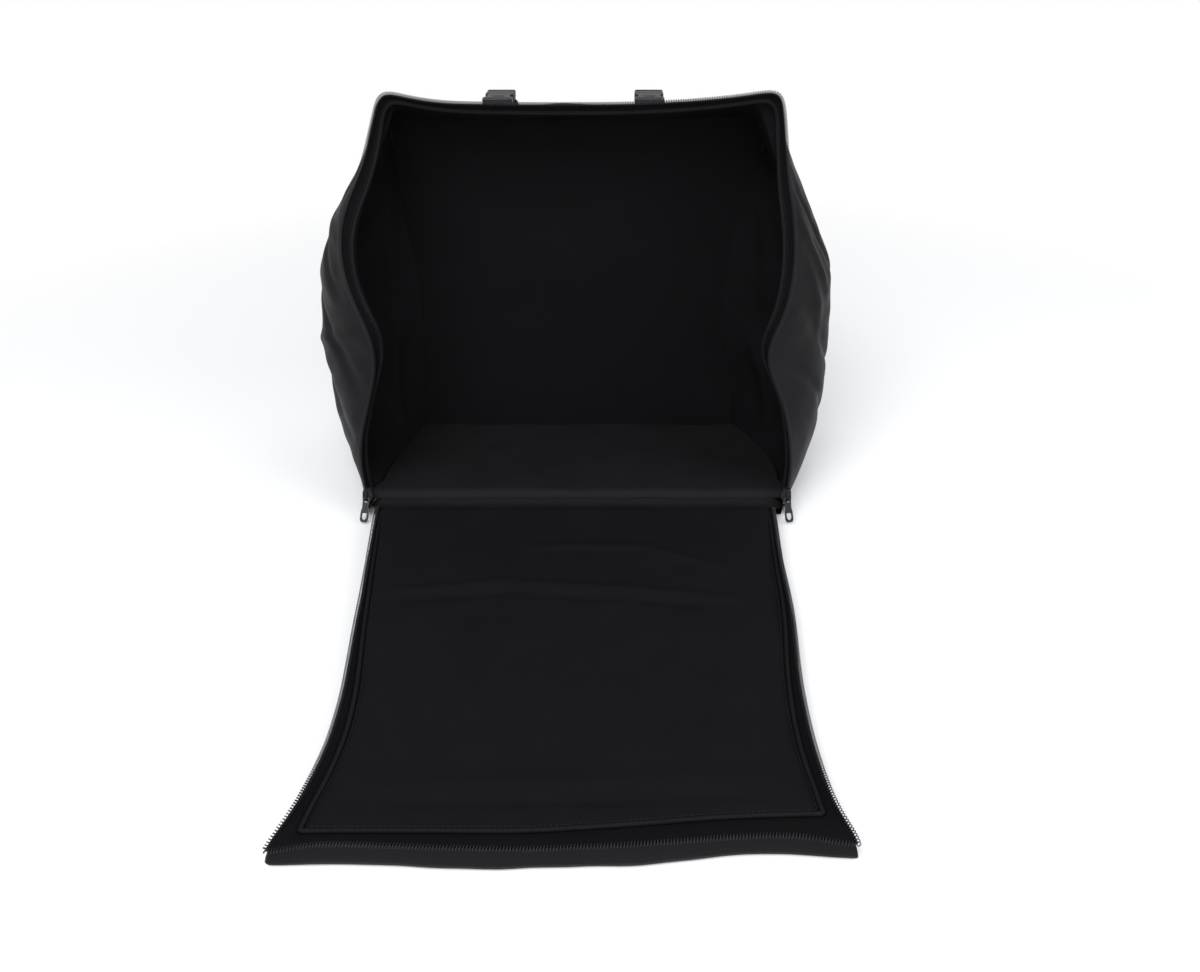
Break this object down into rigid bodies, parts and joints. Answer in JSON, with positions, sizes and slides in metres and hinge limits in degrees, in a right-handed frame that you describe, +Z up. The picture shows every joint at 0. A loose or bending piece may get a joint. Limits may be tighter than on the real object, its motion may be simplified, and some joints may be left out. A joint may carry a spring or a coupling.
{
  "type": "soft accordion case",
  "caption": "Soft zipped carrying case for an accordion, padded, with its front panel unzipped and laid forward, shoulder straps and a handle on the back.",
  "frame": {"origin": "on the ground in the middle of the case's base", "axes": "+Z up, the open mouth and the laid-out front panel towards -Y, +X to the right seen from the front"},
  "size_m": [0.5394, 0.6733, 0.4293],
  "materials": {
    "outer_nylon": "coated plain-weave nylon with a soft sheen",
    "lining": "matt black lining cloth",
    "foam": "closed-cell foam",
    "board": "stiff board",
    "binding": "corded binding",
    "zip_tape": "twill tape",
    "zip_coil": "nylon coil",
    "slider_metal": "black enamel over zinc",
    "webbing": "ribbed nylon webbing",
    "buckle_plastic": "moulded acetal",
    "pad_fabric": "padded nylon",
    "grip": "rolled nylon over foam"
  },
  "bodies": {
    "case": {"left_side_outer": "outer_nylon", "left_side_foam": "foam", "left_side_lining": "lining", "right_side_outer": "outer_nylon", "right_side_foam": "foam", "right_side_lining": "lining", "top_outer": "outer_nylon", "top_foam": "foam", "top_lining": "lining", "back_outer": "outer_nylon", "back_foam": "foam", "back_lining": "lining", "base_outer": "outer_nylon", "base_board": "board", "base_lining": "lining", "mouth_binding": "binding", "back_piping": "binding", "case_zip_tape": "zip_tape", "case_zip_coil": "zip_coil", "zip_stops": "slider_metal", "hinge_strip": "outer_nylon", "handle_loops": "webbing", "left_anchor_web": "webbing", "left_upper_web": "webbing", "left_lower_web": "webbing", "left_buckle_socket": "buckle_plastic", "left_shoulder_pad": "pad_fabric", "left_strap_tab": "outer_nylon", "right_anchor_web": "webbing", "right_upper_web": "webbing", "right_lower_web": "webbing", "right_buckle_socket": "buckle_plastic", "right_shoulder_pad": "pad_fabric", "right_strap_tab": "outer_nylon"},
    "front_panel": {"panel_outer": "outer_nylon", "panel_foam": "foam", "panel_lining": "lining", "panel_zip_tape": "zip_tape", "panel_zip_coil": "zip_coil", "panel_binding": "binding"},
    "handle": {"handle_web": "webbing", "handle_grip": "grip"},
    "left_slider": {"left_zip_slider": "slider_metal"},
    "left_pull": {"left_zip_pull": "slider_metal"},
    "left_plug": {"left_buckle_plug": "buckle_plastic"},
    "left_adjuster": {"left_strap_adjuster": "buckle_plastic"},
    "right_slider": {"right_zip_slider": "slider_metal"},
    "right_pull": {"right_zip_pull": "slider_metal"},
    "right_plug": {"right_buckle_plug": "buckle_plastic"},
    "right_adjuster": {"right_strap_adjuster": "buckle_plastic"}
  },
  "joints": [
    {"name": "panel_hinge", "type": "hinge", "parent": "case", "child": "front_panel", "pos_m": [0, -0.10976, 0.0064], "axis": [-1, 0, 0], "range_deg": [0, 103], "deforming": ["hinge_strip"]},
    {"name": "left_zip_run", "type": "slide", "parent": "case", "child": "left_slider", "axis": [0.0719, 0.2244, 0.9718], "range_m": [0, 0.393]},
    {"name": "left_pull_swing", "type": "hinge", "parent": "left_slider", "child": "left_pull", "pos_m": [-0.23075, -0.09881, 0.02182], "axis": [-0.9974, 0.0162, 0.0701], "range_deg": [-30, 88]},
    {"name": "left_buckle_release", "type": "slide", "parent": "case", "child": "left_plug", "axis": [0, 1, 0], "range_m": [0, 0.026], "deforming": ["left_upper_web"]},
    {"name": "left_strap_length", "type": "slide", "parent": "case", "child": "left_adjuster", "axis": [0, -0.0349, -0.9994], "range_m": [0, 0.028]},
    {"name": "right_zip_run", "type": "slide", "parent": "case", "child": "right_slider", "axis": [-0.0719, 0.2244, 0.9718], "range_m": [0, 0.393]},
    {"name": "right_pull_swing", "type": "hinge", "parent": "right_slider", "child": "right_pull", "pos_m": [0.23075, -0.09881, 0.02182], "axis": [-0.9974, -0.0162, -0.0701], "range_deg": [-30, 88]},
    {"name": "right_buckle_release", "type": "slide", "parent": "case", "child": "right_plug", "axis": [0, 1, 0], "range_m": [0, 0.026], "deforming": ["right_upper_web"]},
    {"name": "right_strap_length", "type": "slide", "parent": "case", "child": "right_adjuster", "axis": [0, -0.0349, -0.9994], "range_m": [0, 0.028]},
    {"name": "handle_swing", "type": "hinge", "parent": "case", "child": "handle", "pos_m": [0, 0.12842, 0.38117], "axis": [1, 0, 0], "range_deg": [0, 95]}
  ]
}
